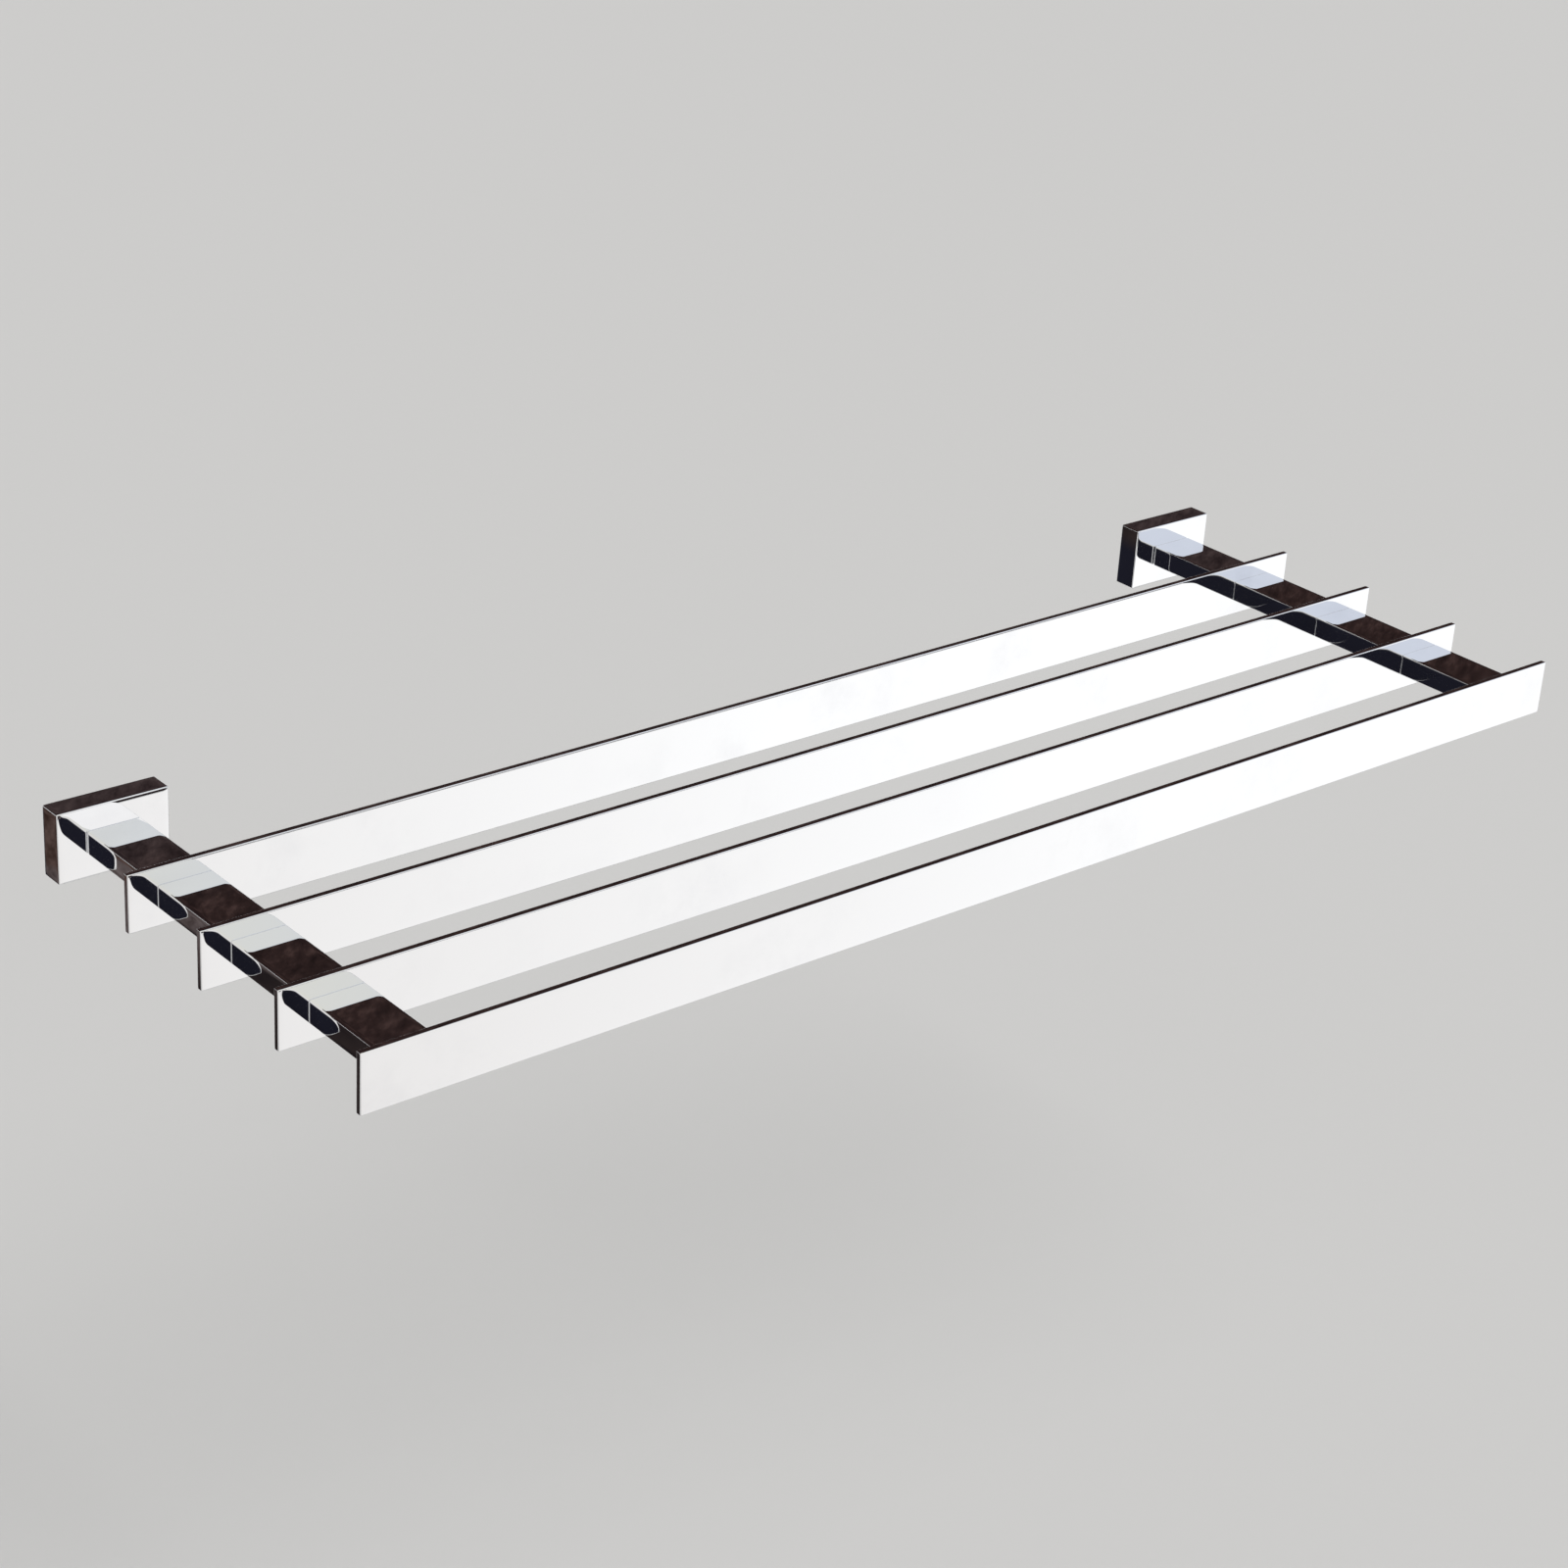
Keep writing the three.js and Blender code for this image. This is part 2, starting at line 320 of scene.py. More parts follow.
def tint(tree, value, dark, light):
    """A colour between dark and light by value, through a two-stop ramp."""
    ramp = tree.nodes.new("ShaderNodeValToRGB")
    ramp.color_ramp.elements[0].color = (*dark, 1.0)
    ramp.color_ramp.elements[1].color = (*light, 1.0)
    tree.links.new(value, ramp.inputs["Fac"])
    return ramp.outputs["Color"]


def polished_chrome():
    material, tree, shader, bump = new_metal("polished_chrome", 0.02)
    polish = use_group(tree, POLISH, Mirror_Roughness=0.018, Haze=0.05, Hairlines=0.02)
    colour = tint(tree, polish.outputs["Haze Mask"], (0.90, 0.905, 0.915), (0.84, 0.845, 0.86))
    bump.inputs["Strength"].default_value = 1.0
    bump.inputs["Distance"].default_value = 0.006 * MM
    wire(
        tree,
        (colour, shader.inputs["Base Color"]),
        (polish.outputs["Roughness"], shader.inputs["Roughness"]),
        (polish.outputs["Height"], bump.inputs["Height"]),
    )
    return material


def plated(name, dark, light, rough, rough_spread, grain_depth):
    """A matt metal with clouded colour and a fine grain."""
    material, tree, shader, bump = new_metal(name, rough)
    grain = use_group(tree, GRAIN, Base_Roughness=rough, Spread=rough_spread)
    bump.inputs["Strength"].default_value = 1.0
    bump.inputs["Distance"].default_value = grain_depth
    wire(
        tree,
        (tint(tree, grain.outputs["Cloud"], dark, light), shader.inputs["Base Color"]),
        (grain.outputs["Roughness"], shader.inputs["Roughness"]),
        (grain.outputs["Height"], bump.inputs["Height"]),
    )
    return material


CHROME = polished_chrome()
ZINC = plated(
    "zinc_plate", dark=(0.50, 0.52, 0.55), light=(0.80, 0.81, 0.80),
    rough=0.26, rough_spread=0.2, grain_depth=0.01 * MM,
)
STEEL = plated(
    "plain_steel", dark=(0.40, 0.40, 0.41), light=(0.60, 0.60, 0.60),
    rough=0.24, rough_spread=0.16, grain_depth=0.006 * MM,
)
OXIDE = plated(
    "black_oxide", dark=(0.015, 0.015, 0.017), light=(0.05, 0.05, 0.052),
    rough=0.38, rough_spread=0.2, grain_depth=0.008 * MM,
)


# ---------------------------------------------------------------------------
# Modelling helpers
# ---------------------------------------------------------------------------

def deselect():
    for other in bpy.context.selected_objects:
        other.select_set(False)


def select_only(piece):
    deselect()
    bpy.context.view_layer.objects.active = piece
    piece.select_set(True)


def place_mesh(name):
    """Names the object just added and puts its place in its mesh."""
    piece = bpy.context.active_object
    piece.name = name
    piece.data.name = name
    bpy.ops.object.transform_apply(location=True, rotation=True, scale=True)
    return piece


def start_block(name, low, high):
    """A box between two corners."""
    deselect()
    bpy.ops.mesh.primitive_cube_add(size=1.0, location=(low + high) / 2, scale=high - low)
    return place_mesh(name)


def start_rod(name, radius, start, end, sides=ROUND_SIDES):
    """A round or many-sided bar from one point to another."""
    deselect()
    direction = end - start
    bpy.ops.mesh.primitive_cylinder_add(
        vertices=sides, radius=radius, depth=direction.length, location=(start + end) / 2,
        rotation=direction.to_track_quat("Z", "Y").to_euler(),
    )
    return place_mesh(name)


def apply_modifier(piece, kind, **settings):
    select_only(piece)
    modifier = piece.modifiers.new(kind.lower(), kind)
    for label, value in settings.items():
        setattr(modifier, label, value)
    bpy.ops.object.modifier_apply(modifier=modifier.name)


def carve(piece, cutter, operation="DIFFERENCE"):
    """Boolean with a cutter, which is then removed."""
    apply_modifier(piece, "BOOLEAN", object=cutter, operation=operation, solver="EXACT")
    bpy.data.objects.remove(cutter)


def round_edges(piece, radius, steps=EDGE_STEPS, angle=40):
    apply_modifier(
        piece, "BEVEL", width=radius, segments=steps,
        limit_method="ANGLE", angle_limit=math.radians(angle),
    )


def edit_where(piece, kind, chosen):
    """Enters edit mode with only the chosen faces, edges or vertices of the piece selected."""
    select_only(piece)
    bpy.ops.object.mode_set(mode="EDIT")
    bpy.ops.mesh.select_mode(type=kind)
    bpy.ops.mesh.select_all(action="DESELECT")
    bpy.ops.object.mode_set(mode="OBJECT")
    parts = {"FACE": piece.data.polygons, "EDGE": piece.data.edges, "VERT": piece.data.vertices}[kind]
    for part in parts:
        part.select = chosen(part)
    bpy.ops.object.mode_set(mode="EDIT")


def leave_edit():
    bpy.ops.object.mode_set(mode="OBJECT")


def bevel_edges_where(piece, radius, steps, chosen):
    """Rounds the edges whose two ends both answer to a test of their place."""
    places = piece.data.vertices
    edit_where(piece, "EDGE", lambda edge: all(chosen(places[index].co) for index in edge.vertices))
    bpy.ops.mesh.bevel(offset=radius, segments=steps, affect="EDGES")
    leave_edit()


def cut_loops(piece, axis, places):
    """Runs an edge loop round the piece at each place along one axis."""
    edit_where(piece, "FACE", lambda face: True)
    for place in places:
        bpy.ops.mesh.select_all(action="SELECT")
        point = Vector((0.0, 0.0, 0.0))
        normal = Vector((0.0, 0.0, 0.0))
        point[axis] = place
        normal[axis] = 1.0
        bpy.ops.mesh.bisect(plane_co=point, plane_no=normal)
    leave_edit()


def fall_at(place, low, high, fall):
    """How far a face has fallen away at a place between its two edges along one axis."""
    if fall is None:
        return 0.0
    band, drop = fall
    return drop * max(0.0, 1.0 - min(place - low, high - place) / band) ** 3


def ease_faces(piece, low, high, directions, falls, radius):
    """Lets the faces that look in the given directions fall away smoothly towards their edges."""
    for axis, fall in enumerate(falls):
        if fall:
            inward = [radius + NEAR_EDGE] + [stop * fall[0] for stop in FALL_STOPS]
            cut_loops(piece, axis, [low[axis] + step for step in inward])
            cut_loops(piece, axis, [high[axis] - step for step in inward])
    for vertex in piece.data.vertices:
        shift = Vector((0.0, 0.0, 0.0))
        for direction in directions:
            across = [axis for axis in range(3) if abs(direction[axis]) < 0.5]
            face_place = high.dot(direction) if sum(direction) > 0 else low.dot(direction)
            if abs(vertex.co.dot(direction) - face_place) < TOUCH:
                for axis in across:
                    shift -= direction * fall_at(vertex.co[axis], low[axis], high[axis], falls[axis])
        vertex.co += shift


def finish_shape(piece, angle=30):
    """Smooth shading up to an angle, with the wide faces kept flat."""
    select_only(piece)
    bpy.ops.object.shade_smooth_by_angle(angle=math.radians(angle))
    apply_modifier(piece, "WEIGHTED_NORMAL", keep_sharp=True, weight=100)


def outward(piece):
    select_only(piece)
    bpy.ops.object.mode_set(mode="EDIT")
    bpy.ops.mesh.select_all(action="SELECT")
    bpy.ops.mesh.remove_doubles(threshold=TOUCH)
    bpy.ops.mesh.normals_make_consistent(inside=False)
    leave_edit()


def fit_out(piece, node, material):
    """Gives the piece its finish, stands it for its CAD node and fixes it to the rack's body."""
    piece.data.materials.clear()
    piece.data.materials.append(material)
    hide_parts(node)
    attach(piece, "root")


def copy_at(piece, name, shift):
    """A copy with its own mesh, moved by a shift."""
    copy = piece.copy()
    copy.data = piece.data.copy()
    copy.name = name
    copy.data.name = name
    copy.data.transform(Matrix.Translation(shift))
    bpy.context.scene.collection.objects.link(copy)
    return copy


def build_alike(prefix, nodes, make, material):
    """Models a piece for the first node and copies it to the others."""
    first_low, first_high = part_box(nodes[0])
    model = make(f"{prefix}_{nodes[0]}", first_low, first_high)
    fit_out(model, nodes[0], material)
    for node in nodes[1:]:
        copy = copy_at(model, f"{prefix}_{node}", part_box(node)[0] - first_low)
        fit_out(copy, node, material)


def middle_line(low, high):
    """The line along Y through the middle of a box: a function from y to a point."""
    middle = (low + high) / 2
    return lambda y: Vector((middle.x, y, middle.z))


def drill(piece, on_line, radius):
    """A hole right through along Y."""
    low, high = Vector(piece.bound_box[0]), Vector(piece.bound_box[6])
    carve(piece, start_rod("drill", radius, on_line(low.y - radius), on_line(high.y + radius)))


def turned(name, on_line, rings, sides=TURNED_SIDES):
    """A turned piece along Y, extruded from ring to ring. Each ring is a radius and a y."""
    deselect()
    radius, y = rings[0]
    bpy.ops.mesh.primitive_circle_add(
        vertices=sides, radius=radius, fill_type="NGON",
        location=on_line(y), rotation=(math.pi / 2, 0.0, 0.0),
    )
    piece = place_mesh(name)
    bpy.ops.object.mode_set(mode="EDIT")
    bpy.ops.mesh.select_all(action="SELECT")
    for next_radius, next_y in rings[1:]:
        grow = next_radius / radius
        bpy.ops.mesh.extrude_region_move(TRANSFORM_OT_translate={"value": (0.0, next_y - y, 0.0)})
        bpy.ops.transform.resize(value=(grow, 1.0, grow), center_override=on_line(next_y))
        radius, y = next_radius, next_y
    leave_edit()
    outward(piece)
    return piece


def thread_ridge(on_line, crest_radius, depth, pitch, start_y, turns):
    """One closed ridge wound round a line along Y, with its foot sunk in the core."""
    deselect()
    reach = depth / RIDGE_STANDS_OUT
    bpy.ops.mesh.primitive_circle_add(
        vertices=3, radius=reach,
        location=(crest_radius - reach, 0.0, 0.0), rotation=(0.0, 0.0, -math.pi / 2),
    )
    ridge = place_mesh("thread_ridge")
    apply_modifier(
        ridge, "SCREW", axis="Y", angle=2 * math.pi, screw_offset=pitch, iterations=turns,
        steps=THREAD_STEPS, render_steps=THREAD_STEPS, use_merge_vertices=False,
    )
    select_only(ridge)
    bpy.ops.object.mode_set(mode="EDIT")
    bpy.ops.mesh.select_all(action="SELECT")
    bpy.ops.mesh.fill_holes(sides=3)
    leave_edit()
    outward(ridge)
    low_y = min(corner[1] for corner in ridge.bound_box)
    ridge.data.transform(Matrix.Translation(on_line(start_y - low_y)))
    return ridge


# ---------------------------------------------------------------------------
# Chromed pieces
# ---------------------------------------------------------------------------

FORWARD = Vector((0.0, -1.0, 0.0))
BACKWARD = Vector((0.0, 1.0, 0.0))
UP = Vector((0.0, 0.0, 1.0))
DOWN = Vector((0.0, 0.0, -1.0))
LEFT = Vector((-1.0, 0.0, 0.0))
RIGHT = Vector((1.0, 0.0, 0.0))


def chamfer_wall_end(bar, low, high, width):
    """Chamfers the two upright edges of the end that stands on the wall cover."""
    middle = (low + high) / 2
    bevel_edges_where(bar, width, 1, lambda place: place.y > middle.y and place.x < middle.x)
    bevel_edges_where(bar, width, 1, lambda place: place.y > middle.y and place.x > middle.x)


def buffed_bar(name, low, high, directions, falls, radius, wall_chamfer=0.0):
    """A bar with every edge rounded, whose faces in the given directions are eased as by buffing."""
    bar = start_block(name, low, high)
    if wall_chamfer:
        chamfer_wall_end(bar, low, high, wall_chamfer)
    ease_faces(bar, low, high, directions, falls, radius)
    round_edges(bar, radius)
    return bar


def make_plain_slat(name, low, high):
    return buffed_bar(name, low, high, (FORWARD, BACKWARD), SLAT_FALLS, SLAT_EDGE)


def make_slat(name, low, high):
    """A slat that the two tie rods run through."""
    slat = make_plain_slat(name, low, high)
    for side in SIDES:
        rod_low, rod_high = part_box(f"tie_rod_{side}")
        drill(slat, middle_line(rod_low, rod_high), (rod_high.x - rod_low.x) / 2 + ROD_CLEARANCE)
    finish_shape(slat)
    return slat


def make_front_slat(name, low, high):
    slat = make_plain_slat(name, low, high)
    finish_shape(slat)
    return slat


def make_block(name, low, high, wall_chamfer=0.0):
    block = buffed_bar(name, low, high, (UP, DOWN, LEFT, RIGHT), BLOCK_FALLS, BLOCK_EDGE, wall_chamfer)
    rod_low, rod_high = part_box("tie_rod_left")
    drill(block, middle_line(low, high), (rod_high.x - rod_low.x) / 2 + ROD_CLEARANCE)
    finish_shape(block)
    return block


def make_first_block(name, low, high):
    """The block that stands on the wall cover, with two chamfers at that end."""
    return make_block(name, low, high, WALL_END_CHAMFER)


def make_cover(name, low, high):
    """The hollow cover, open at the wall, with a hole for the rod and one for the grub screw."""
    cover = buffed_bar(name, low, high, (FORWARD, UP, DOWN, LEFT, RIGHT), COVER_FALLS, COVER_EDGE)
    wall = Vector((COVER_WALL, 0.0, COVER_WALL))
    room_low = low + wall + Vector((0.0, COVER_FRONT_WALL, 0.0))
    room_high = high - wall + Vector((0.0, COVER_FRONT_WALL, 0.0))
    room = start_block("room", room_low, room_high)
    round_edges(room, COVER_INSIDE_EDGE, COVER_INSIDE_STEPS)
    carve(cover, room)
    rod_low, rod_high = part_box("tie_rod_left")
    drill(cover, middle_line(low, high), (rod_high.x - rod_low.x) / 2 + ROD_CLEARANCE)
    grub_low, grub_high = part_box("grub_screw_left")
    grub_middle = (grub_low + grub_high) / 2
    grub_radius = (grub_high.x - grub_low.x) / 2 + THREAD_CLEARANCE
    below = Vector((grub_middle.x, grub_middle.y, low.z - grub_radius))
    inside = Vector((grub_middle.x, grub_middle.y, low.z + COVER_WALL + grub_radius))
    carve(cover, start_rod("grub_hole", grub_radius, below, inside))
    finish_shape(cover)
    return cover


# ---------------------------------------------------------------------------
# Plated pieces behind the covers
# ---------------------------------------------------------------------------

def make_bracket(name, low, high):
    """A bent channel, rounded outside and inside its bends, with a nut hole and two screw holes."""
    bracket = start_block(name, low, high)
    near_wall = high.y - NEARLY
    bevel_edges_where(bracket, BEND_OUTSIDE, BEND_OUTSIDE_STEPS, lambda place: place.y > near_wall)
    channel = start_block(
        "channel",
        Vector((low.x - PAST_END, low.y - BRACKET_BASE, low.z + BRACKET_FLANGE)),
        Vector((high.x + PAST_END, high.y - BRACKET_BASE, high.z - BRACKET_FLANGE)),
    )
    deep = high.y - BRACKET_BASE - NEARLY
    bevel_edges_where(channel, BEND_INSIDE, BEND_INSIDE_STEPS, lambda place: place.y > deep)
    carve(bracket, channel)
    nut_low, nut_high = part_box("rod_nut_left")
    across = max(nut_high.x - nut_low.x, nut_high.z - nut_low.z)
    drill(bracket, middle_line(nut_low, nut_high), (across + NUT_ROOM) / 2)
    for place in ("outer", "inner"):
        screw_line = middle_line(*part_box(f"wall_screw_left_{place}"))
        drill(bracket, screw_line, SCREW_DIAMETER / 2 + SCREW_CLEARANCE)
    round_edges(bracket, PLATE_EDGE, PLATE_EDGE_STEPS, angle=50)
    finish_shape(bracket)
    return bracket


def make_washer(name, low, high):
    on_line = middle_line(low, high)
    washer = start_rod(name, (high.x - low.x) / 2, on_line(low.y), on_line(high.y), RING_SIDES)
    rod_low, rod_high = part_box("tie_rod_left")
    drill(washer, on_line, (rod_high.x - rod_low.x) / 2 + ROD_CLEARANCE)
    round_edges(washer, HOLE_EDGE, HOLE_EDGE_STEPS)
    finish_shape(washer)
    return washer


def make_nut(name, low, high):
    """A hexagon nut: its corners are turned off on both sides, and its bore is countersunk."""
    on_line = middle_line(low, high)
    corner = max(high.x - low.x, high.z - low.z) / 2
    flats = corner * math.cos(math.pi / 6)
    fall = (corner - flats) / 2
    nut = turned(name, on_line, [
        (flats, low.y), (corner, low.y + fall), (corner, high.y - fall), (flats, high.y),
    ], RING_SIDES)
    hexagon = start_rod("hexagon", corner, on_line(low.y - fall), on_line(high.y + fall), 6)
    carve(nut, hexagon, "INTERSECT")
    rod_low, rod_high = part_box("tie_rod_left")
    bore = (rod_high.x - rod_low.x) / 2 + THREAD_CLEARANCE
    sink = CHAMFER + THREAD_CLEARANCE
    carve(nut, turned("bore", on_line, [
        (bore + sink, low.y - THREAD_CLEARANCE), (bore, low.y + sink), (bore, high.y - sink),
        (bore + sink, high.y + THREAD_CLEARANCE),
    ]))
    finish_shape(nut)
    return nut


def make_tie_rod(name, low, high):
    """A plain rod, threaded at the end that the nut is on."""
    on_line = middle_line(low, high)
    radius = (high.x - low.x) / 2
    root = radius - ROD_THREAD_DEPTH
    thread_start = high.y - ROD_THREAD_LENGTH
    rod = turned(name, on_line, [
        (radius, low.y), (radius, thread_start), (root, thread_start + CHAMFER),
        (root, high.y - CHAMFER), (root - CHAMFER, high.y),
    ])
    turns = int((ROD_THREAD_LENGTH - 2 * CHAMFER) / ROD_PITCH) - 1
    ridge = thread_ridge(on_line, radius, ROD_THREAD_DEPTH, ROD_PITCH, thread_start, turns)
    carve(rod, ridge, "UNION")
    finish_shape(rod)
    return rod


def make_wall_screw(name, low, high):
    """A pan-head wood screw: domed head with a cross recess, threaded shank, and a blunted point."""
    on_line = middle_line(low, high)
    tip_y = high.y - SCREW_BLUNT
    head_radius = (high.x - low.x) / 2
    under_head = low.y + SCREW_HEAD_HEIGHT
    rim = SCREW_HEAD_HEIGHT / 2
    root = SCREW_DIAMETER / 2 - WOOD_THREAD_DEPTH
    rings = []
    for step in range(1, SCREW_HEAD_RINGS + 1):
        turn = math.radians(90 / SCREW_HEAD_RINGS * step)
        rings.append((head_radius * math.sin(turn), under_head - rim - rim * math.cos(turn)))
    rings += [
        (head_radius, under_head - CHAMFER / 2), (head_radius - CHAMFER / 2, under_head),
        (root + CHAMFER, under_head), (root, under_head + CHAMFER), (root, tip_y),
    ]
    screw = turned(name, on_line, rings, SCREW_SIDES)
    thread_start = under_head + CHAMFER
    turns = int((tip_y - thread_start) / WOOD_PITCH) - 1
    crest = SCREW_DIAMETER / 2
    ridge = thread_ridge(on_line, crest, WOOD_THREAD_DEPTH, WOOD_PITCH, thread_start, turns)
    carve(screw, ridge, "UNION")
    taper_to_point(screw, on_line, tip_y - SCREW_POINT, tip_y)
    for width, length in ((CROSS_WIDTH, CROSS_LENGTH), (CROSS_LENGTH, CROSS_WIDTH)):
        half = Vector((width / 2, CROSS_DEPTH, length / 2))
        blade = start_block("cross_blade", on_line(low.y) - half, on_line(low.y) + half)
        narrow_towards(blade, on_line(low.y), low.y + CROSS_DEPTH, CROSS_DEEP_END)
        carve(screw, blade)
    finish_shape(screw)
    return screw


def taper_to_point(piece, on_line, start_y, end_y):
    """Draws in everything beyond start_y, down to a blunt point at end_y."""
    for vertex in piece.data.vertices:
        if vertex.co.y > start_y:
            centre = on_line(vertex.co.y)
            left_over = (end_y - vertex.co.y) / (end_y - start_y)
            keep = max(POINT_KEEPS, left_over) ** POINT_CURVE
            vertex.co = centre + (vertex.co - centre) * keep


def narrow_towards(blade, middle, deep_y, keep):
    """Makes a blade narrower at its deep end."""
    edit_where(blade, "VERT", lambda vertex: vertex.co.y > deep_y - TOUCH)
    bpy.ops.transform.resize(value=(keep, 1.0, keep), center_override=middle)
    leave_edit()


def make_grub_screw(name, low, high):
    """A threaded grub screw standing along Z, with a hexagon socket in its lower end."""
    length = high.z - low.z
    radius = (high.x - low.x) / 2
    root = radius - GRUB_THREAD_DEPTH
    origin = Vector((0.0, 0.0, 0.0))
    at_origin = middle_line(origin, origin)
    grub = turned(name, at_origin, [
        (root - CHAMFER / 2, 0.0), (root, CHAMFER / 2), (root, length - CHAMFER / 2),
        (root - CHAMFER / 2, length),
    ])
    turns = int((length - CHAMFER) / GRUB_PITCH) - 1
    ridge = thread_ridge(at_origin, radius, GRUB_THREAD_DEPTH, GRUB_PITCH, CHAMFER / 2, turns)
    carve(grub, ridge, "UNION")
    corner = SOCKET_FLATS / 2 / math.cos(math.pi / 6)
    carve(grub, start_rod("socket", corner, at_origin(-SOCKET_DEPTH), at_origin(SOCKET_DEPTH), 6))
    middle = (low + high) / 2
    stand = Matrix.Translation((middle.x, middle.y, low.z)) @ Matrix.Rotation(math.pi / 2, 4, "X")
    grub.data.transform(stand)
    finish_shape(grub)
    return grub


def on_both_sides(kind):
    return [f"{kind}_{side}" for side in SIDES]


build_alike("polished", SLATS[:-1], make_slat, CHROME)
build_alike("polished", SLATS[-1:], make_front_slat, CHROME)
build_alike(
    "polished", [f"arm_{side}_block_1" for side in SIDES], make_first_block, CHROME,
)
build_alike(
    "polished", [f"arm_{side}_block_{number}" for side in SIDES for number in SHORT_BLOCKS],
    make_block, CHROME,
)
build_alike("polished", on_both_sides("wall_cover"), make_cover, CHROME)
build_alike("plated", on_both_sides("wall_bracket"), make_bracket, ZINC)
build_alike("plated", on_both_sides("rod_washer"), make_washer, ZINC)
build_alike("plated", on_both_sides("rod_nut"), make_nut, ZINC)
build_alike("turned", on_both_sides("tie_rod"), make_tie_rod, STEEL)
build_alike("blackened", on_both_sides("grub_screw"), make_grub_screw, OXIDE)
build_alike(
    "plated", [f"wall_screw_{side}_{place}" for side in SIDES for place in ("outer", "inner")],
    make_wall_screw, ZINC,
)


# ---------------------------------------------------------------------------
# Stage: floor, light and the cards that the chrome reflects
# ---------------------------------------------------------------------------

FLOOR_DROP = 0.34
FLOOR_Z = cad_low.z - FLOOR_DROP
FLOOR_SIZE = 80.0

WALL_Y = 0.10
WALL_FOOT = 0.02
WALL_HEIGHT = 3.0
SWEEP_Y = cad_low.y - 0.27
SWEEP_TOP = 2.0
SWEEP_STRENGTH = 1.12
BACK_Y = 0.55

TURNED_IN = (1.0, -0.6, 0.0)
TURNED_BACK = (0.5, 0.866, 0.0)

# Heights and distances, on the cards, over which one colour turns into another
WALL_TURNS = (0.05, 0.12)
SWEEP_TURNS = (0.10, 0.16)
SWEEP_SPAN = (-0.25, 0.55)
FLAG_PALES = (-0.133, -0.114)
FLAG_WARMS = (-0.092, -0.088)
FLAG_ENDS = (0.14, 0.15)


def ramp_colour(tree, value, *stops):
    """A colour ramp with (position, colour) stops."""
    node = tree.nodes.new("ShaderNodeValToRGB")
    elements = node.color_ramp.elements
    while len(elements) < len(stops):
        elements.new(0.5)
    for element, (position, colour) in zip(elements, stops):
        element.position = position
        element.color = (*colour, 1.0)
    tree.links.new(value, node.inputs["Fac"])
    return node.outputs["Color"]


def blend_colours(tree, factor, first, second):
    mix = tree.nodes.new("ShaderNodeMix")
    mix.data_type = "RGBA"
    wire(tree, (factor, mix.inputs["Factor"]), (first, mix.inputs["A"]), (second, mix.inputs["B"]))
    return mix.outputs["Result"]


def axis_of(tree, axis):
    """One of the object coordinates."""
    split = tree.nodes.new("ShaderNodeSeparateXYZ")
    tree.links.new(tree.nodes.new("ShaderNodeTexCoord").outputs["Object"], split.inputs["Vector"])
    return split.outputs[axis]


def along_axis(tree, axis, span):
    """A mask that goes from 0 to 1 over a span of one axis."""
    return mask(tree, axis_of(tree, axis), span)


def object_noise(tree, scale, detail):
    place = tree.nodes.new("ShaderNodeTexCoord").outputs["Object"]
    return noise(tree, place, scale, detail, roughness=0.6)


def edge_distance(tree, size):
    """How far inside the nearest edge of a card a point is."""
    place = tree.nodes.new("ShaderNodeSeparateXYZ")
    tree.links.new(tree.nodes.new("ShaderNodeTexCoord").outputs["UV"], place.inputs["Vector"])
    inside = []
    for axis, length in zip(("X", "Y"), size):
        from_middle = arithmetic(tree, "SUBTRACT", place.outputs[axis], 0.5)
        from_middle = arithmetic(tree, "ABSOLUTE", from_middle, 0.0)
        from_edge = arithmetic(tree, "SUBTRACT", 0.5, from_middle)
        inside.append(arithmetic(tree, "MULTIPLY", from_edge, length))
    return arithmetic(tree, "MINIMUM", *inside)


def card(name, centre, size, facing, colour, strength=1.0, soft=0.0):
    """A glowing card that only reflections see, and only from its front. Its edges may fade out.

    size is its width and its height, facing is where its front looks, and colour is a function
    that makes the colour socket in the card's shader.
    """
    deselect()
    bpy.ops.mesh.primitive_plane_add(
        size=1.0, location=centre, rotation=Vector(facing).to_track_quat("Z", "Y").to_euler(),
    )
    bpy.context.active_object.scale = (*size, 1.0)
    sheet = place_mesh(name)
    for ray in ("camera", "diffuse", "shadow", "transmission", "volume_scatter"):
        setattr(sheet, f"visible_{ray}", False)
    material = bpy.data.materials.new(name)
    material.use_nodes = True
    tree = material.node_tree
    tree.nodes.clear()
    out = tree.nodes.new("ShaderNodeOutputMaterial")
    glow = tree.nodes.new("ShaderNodeEmission")
    glow.inputs["Strength"].default_value = strength
    mix = tree.nodes.new("ShaderNodeMixShader")
    clear = tree.nodes.new("ShaderNodeBsdfTransparent")
    hidden = tree.nodes.new("ShaderNodeNewGeometry").outputs["Backfacing"]
    if soft:
        faded = spread(tree, edge_distance(tree, size), 0.0, soft, 1.0, 0.0)
        hidden = arithmetic(tree, "MAXIMUM", hidden, faded)
    wire(
        tree,
        (colour(tree), glow.inputs["Color"]),
        (hidden, mix.inputs["Fac"]),
        (glow.outputs["Emission"], mix.inputs[1]),
        (clear.outputs["BSDF"], mix.inputs[2]),
        (mix.outputs["Shader"], out.inputs["Surface"]),
    )
    sheet.data.materials.append(material)


